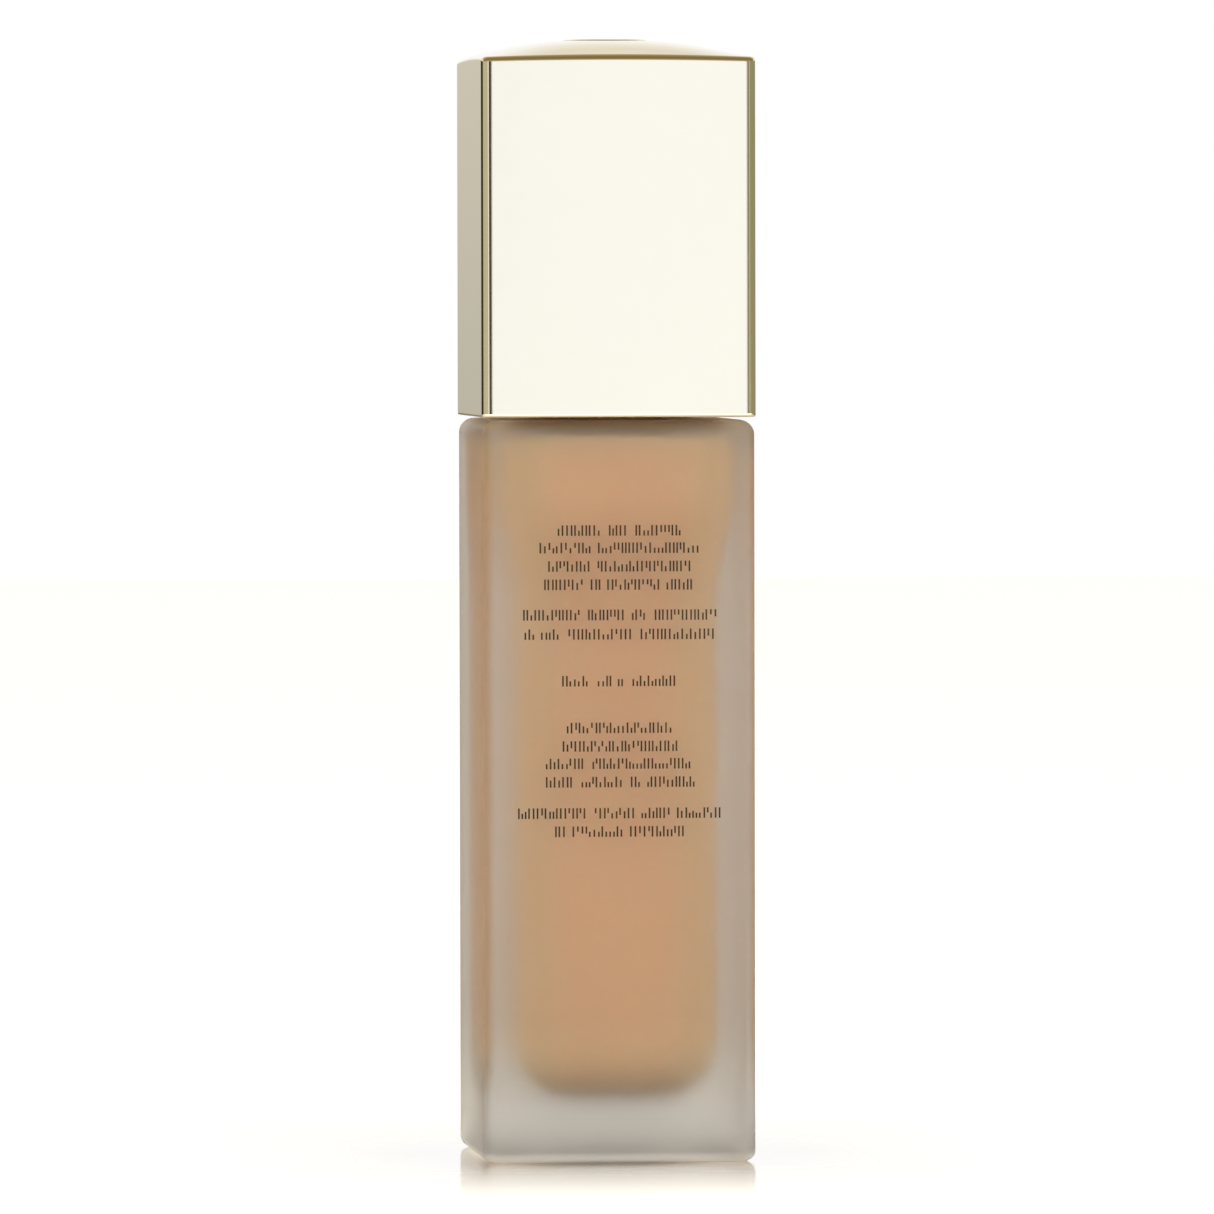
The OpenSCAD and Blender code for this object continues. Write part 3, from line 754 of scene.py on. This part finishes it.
def build_print():
    """Rows of word-length hatching on the front face: upright ticks of three heights, no letters."""
    chooser = random.Random(7)
    verts, faces = [], []
    for height, words in PRINT_ROWS:
        x = -(sum(words) * MM + WORD_GAP * (len(words) - 1)) / 2
        for word in words:
            end = x + word * MM
            low, high = height * MM - (MARK_H - STROKE) / 2, height * MM + (MARK_H - STROKE) / 2
            while x < end:
                tall = (high - low) * chooser.choice((1.0, 1.0, 0.62, 0.4))
                top = chooser.choice((low + tall, low + tall, high))
                stroke(verts, faces, (x, top - tall), (x, top), STROKE)
                x += chooser.choice((0.37, 0.43, 0.50)) * MM
            x = end + WORD_GAP
    mesh = bpy.data.meshes.new("front_print")
    mesh.from_pydata(verts, [], faces)
    mesh.materials.append(INK)
    marks = bpy.data.objects.new("front_print", mesh)
    bpy.context.scene.collection.objects.link(marks)
    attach(marks, "bottle")


# ---------------------------------------------------------------- studio

def build_floor():
    half = FLOOR_HALF
    mesh = bpy.data.meshes.new("floor")
    mesh.from_pydata([(-half, -half, 0), (half, -half, 0), (half, half, 0), (-half, half, 0)], [],
                     [(0, 1, 2, 3)])
    floor = bpy.data.objects.new("floor", mesh)
    bpy.context.scene.collection.objects.link(floor)
    made, tree, shader = material("floor", Base_Color=(0.93, 0.93, 0.93, 1), Roughness=0.7,
                                  Specular_IOR_Level=0.0)
    mesh.materials.append(made)
    place, parts = object_place(tree)
    path = add_node(tree, "ShaderNodeLightPath").outputs
    # The floor is white to look at and throws only a little light back onto the bottle
    dim = add_node(tree, "ShaderNodeBsdfDiffuse", Color=(FLOOR_BOUNCE, FLOOR_BOUNCE, FLOOR_BOUNCE, 1))
    # Mirrored in the metal, it runs from pale at the front left to deep gold at the back right
    slope = add_node(tree, "ShaderNodeVectorMath", operation="DOT_PRODUCT")
    slope.inputs[1].default_value = (0.5, 0.8, 0.0)
    tree.links.new(place, slope.inputs[0])
    tone = ramp_node(tree, FLOOR_TONES)
    along = remap(tree, slope.outputs["Value"], -FLOOR_TONE_REACH, FLOOR_TONE_REACH)
    tree.links.new(along, tone.inputs["Fac"])
    mirrored = add_node(tree, "ShaderNodeBsdfDiffuse")
    tree.links.new(tone.outputs["Color"], mirrored.inputs["Color"])
    reflected = maths(tree, "SUBTRACT", path["Is Glossy Ray"], path["Is Transmission Ray"], clamp=True)
    unseen = mix_shaders(tree, reflected, dim.outputs[0], mirrored.outputs[0])
    matt = mix_shaders(tree, path["Is Camera Ray"], unseen, shader.outputs[0])
    # It shines round the bottle's foot, and fades with the distance past it
    shine = add_node(tree, "ShaderNodeBsdfGlossy", Roughness=FLOOR_ROUGHNESS, Color=(0.98, 0.98, 0.98, 1))
    span = add_node(tree, "ShaderNodeCombineXYZ")
    for axis in ("X", "Y"):
        past = maths(tree, "SUBTRACT", maths(tree, "ABSOLUTE", parts[axis]), BODY_HALF, clamp=True)
        tree.links.new(past, span.inputs[axis])
    distance = add_node(tree, "ShaderNodeVectorMath", operation="LENGTH")
    tree.links.new(span.outputs[0], distance.inputs[0])
    fade = remap(tree, distance.outputs["Value"], 0.0, FLOOR_SHINE_REACH, 1.0, 0.0)
    # Seen from higher up, the floor mirrors less
    facing = add_node(tree, "ShaderNodeLayerWeight").outputs["Facing"]
    strength = maths(tree, "MULTIPLY", fade, remap(tree, facing, *GRAZING))
    floor_mix = mix_shaders(tree, strength, matt, shine.outputs[0])
    tree.links.new(floor_mix, tree.nodes["Material Output"].inputs["Surface"])


# Light round the studio at eye level, by degrees from the front (0) through the left (90) to the back (180)
AROUND = [
    (-180, (1.0, 1.0, 1.0)), (-169, (1.0, 1.0, 1.0)),
    (-164, (0.31, 0.30, 0.18)), (-38, (0.31, 0.30, 0.18)),
    (-35, (0.52, 0.47, 0.32)), (-24, (0.52, 0.47, 0.32)),
    (-22, (0.26, 0.23, 0.15)), (-10, (0.26, 0.23, 0.15)),
    (-8.5, (1.09, 1.14, 1.23)), (-4.4, (1.09, 1.14, 1.23)),
    (-3.2, (0.05, 0.045, 0.03)), (11, (0.05, 0.045, 0.03)),
    (13, (0.95, 0.88, 0.85)), (24, (0.95, 0.88, 0.85)),
    (27, (0.54, 0.51, 0.355)), (98, (0.54, 0.51, 0.355)),
    (108, (0.04, 0.035, 0.02)), (171.3, (0.04, 0.035, 0.02)),
    (172.6, (0.63, 0.595, 0.505)), (176.5, (0.63, 0.595, 0.505)),
    (179.9, (1.0, 1.0, 1.0)),
]
# Light overhead, by degrees from the front horizon (0) over the top (90) to the back horizon (180)
OVERHEAD = [
    (0, (0.5, 0.4, 0.25)), (12, (0.34, 0.25, 0.11)), (42, (0.21, 0.155, 0.045)),
    (74, (0.26, 0.22, 0.11)), (114, (0.48, 0.37, 0.25)), (143, (0.92, 0.88, 0.70)),
    (155, (0.84, 0.78, 0.68)), (168, (0.98, 0.97, 0.94)), (178, (1.0, 1.0, 1.0)),
    (180, (1.0, 1.0, 1.0)),
]


def direction_angle(tree, up, across):
    """atan2(up, across) as a share of a full turn, 0..1, with 0.5 at zero."""
    return remap(tree, maths(tree, "ARCTAN2", up, across), -math.pi, math.pi)


def turn_ramp(tree, turn, stops):
    """A ramp over a direction_angle, from (degrees, colour) stops."""
    ramp = ramp_node(tree, [((degrees + 180) / 360, colour) for degrees, colour in stops])
    tree.links.new(turn, ramp.inputs["Fac"])
    return ramp.outputs["Color"]


def build_world():
    world = bpy.data.worlds.new("studio")
    bpy.context.scene.world = world
    world.use_nodes = True
    tree = world.node_tree
    back = tree.nodes["Background"]
    parts = add_node(tree, "ShaderNodeSeparateXYZ")
    tree.links.new(add_node(tree, "ShaderNodeTexCoord").outputs["Generated"], parts.inputs["Vector"])
    x, y, z = parts.outputs
    ahead = maths(tree, "MULTIPLY", y, -1)
    turn = direction_angle(tree, maths(tree, "MULTIPLY", x, -1), ahead)
    high = turn_ramp(tree, turn, AROUND)
    # Below the horizon, the panels at the back left are a little darker
    shaded = [(degrees, tuple(LOW_SHADE * c for c in colour) if 100 < degrees < 178 else colour)
              for degrees, colour in AROUND]
    low = turn_ramp(tree, turn, shaded)
    around = mix_colours(tree, remap(tree, z, *HORIZON), low, high)
    over = turn_ramp(tree, direction_angle(tree, z, ahead), OVERHEAD)
    # The overhead light takes over from the panels a few degrees above the horizon
    mixed = mix_colours(tree, remap(tree, z, *OVERHEAD_START), around, over)
    tree.links.new(mixed, back.inputs["Color"])
    path = add_node(tree, "ShaderNodeLightPath")
    # Less of it comes through the glass
    through = spread(tree, path.outputs["Is Transmission Ray"], 1.0, THROUGH_GLASS)
    tree.links.new(through, back.inputs["Strength"])
    # The backdrop itself is plain white
    white = add_node(tree, "ShaderNodeBackground", Color=(1, 1, 1, 1))
    choose = mix_shaders(tree, path.outputs["Is Camera Ray"], back.outputs[0], white.outputs[0])
    tree.links.new(choose, tree.nodes["World Output"].inputs["Surface"])


def softbox(name, place, target, size, radiance):
    """A square lamp that lights the scene but shows in no reflection."""
    lamp = bpy.data.lights.new(name, "AREA")
    lamp.size = size
    lamp.energy = radiance * math.pi * size * size
    light = bpy.data.objects.new(name, lamp)
    bpy.context.scene.collection.objects.link(light)
    light.location = place
    light.rotation_euler = (Vector(target) - Vector(place)).to_track_quat("-Z", "Y").to_euler()
    light.visible_camera = False
    light.visible_glossy = False


def overhead_sun(strength):
    lamp = bpy.data.lights.new("overhead", "SUN")
    lamp.energy = strength
    lamp.angle = math.radians(100)
    light = bpy.data.objects.new("overhead", lamp)
    bpy.context.scene.collection.objects.link(light)
    light.visible_camera = False
    light.visible_glossy = False


def build_camera():
    azimuth = math.radians(-5.98)
    elevation = math.radians(1.58)
    roll = math.radians(-0.11)
    distance = 1.354
    aim_aside, aim_height = 0.146, 60.25
    back = Vector((math.sin(azimuth) * math.cos(elevation), -math.cos(azimuth) * math.cos(elevation),
                   math.sin(elevation)))
    right = Vector((math.cos(azimuth), math.sin(azimuth), 0))
    up = back.cross(right)
    target = Vector((aim_aside * math.cos(azimuth), aim_aside * math.sin(azimuth), aim_height)) * MM
    turned_right = right * math.cos(roll) + up * math.sin(roll)
    turned_up = back.cross(turned_right)
    data = bpy.data.cameras.new("camera")
    data.sensor_width = 36
    data.lens = 364.8
    data.clip_start = 0.05
    camera = bpy.data.objects.new("camera", data)
    bpy.context.scene.collection.objects.link(camera)
    matrix = camera.matrix_world.to_3x3()
    for row in range(3):
        matrix[row] = (turned_right[row], turned_up[row], back[row])
    camera.matrix_world = matrix.to_4x4()
    camera.location = target + back * distance
    bpy.context.scene.camera = camera


def build_studio():
    build_floor()
    build_world()
    overhead_sun(SUN_STRENGTH)
    middle = (0, 0, 0.06)
    for name, side in (("front_left", -0.8), ("front_right", 0.8)):
        softbox(name, (side, -1.27, 0.25), middle, SOFTBOX_SIZE, SOFTBOX_RADIANCE)
    scene = bpy.context.scene
    scene.view_settings.view_transform = "Standard"
    scene.cycles.max_bounces = 16
    scene.cycles.transmission_bounces = 16
    scene.cycles.glossy_bounces = 6


build_camera()
build_studio()
build_cap()
build_glass()
build_liquid()
build_print()
build_sleeve()
build_actuator()
build_spring()
finish_kept_nodes()
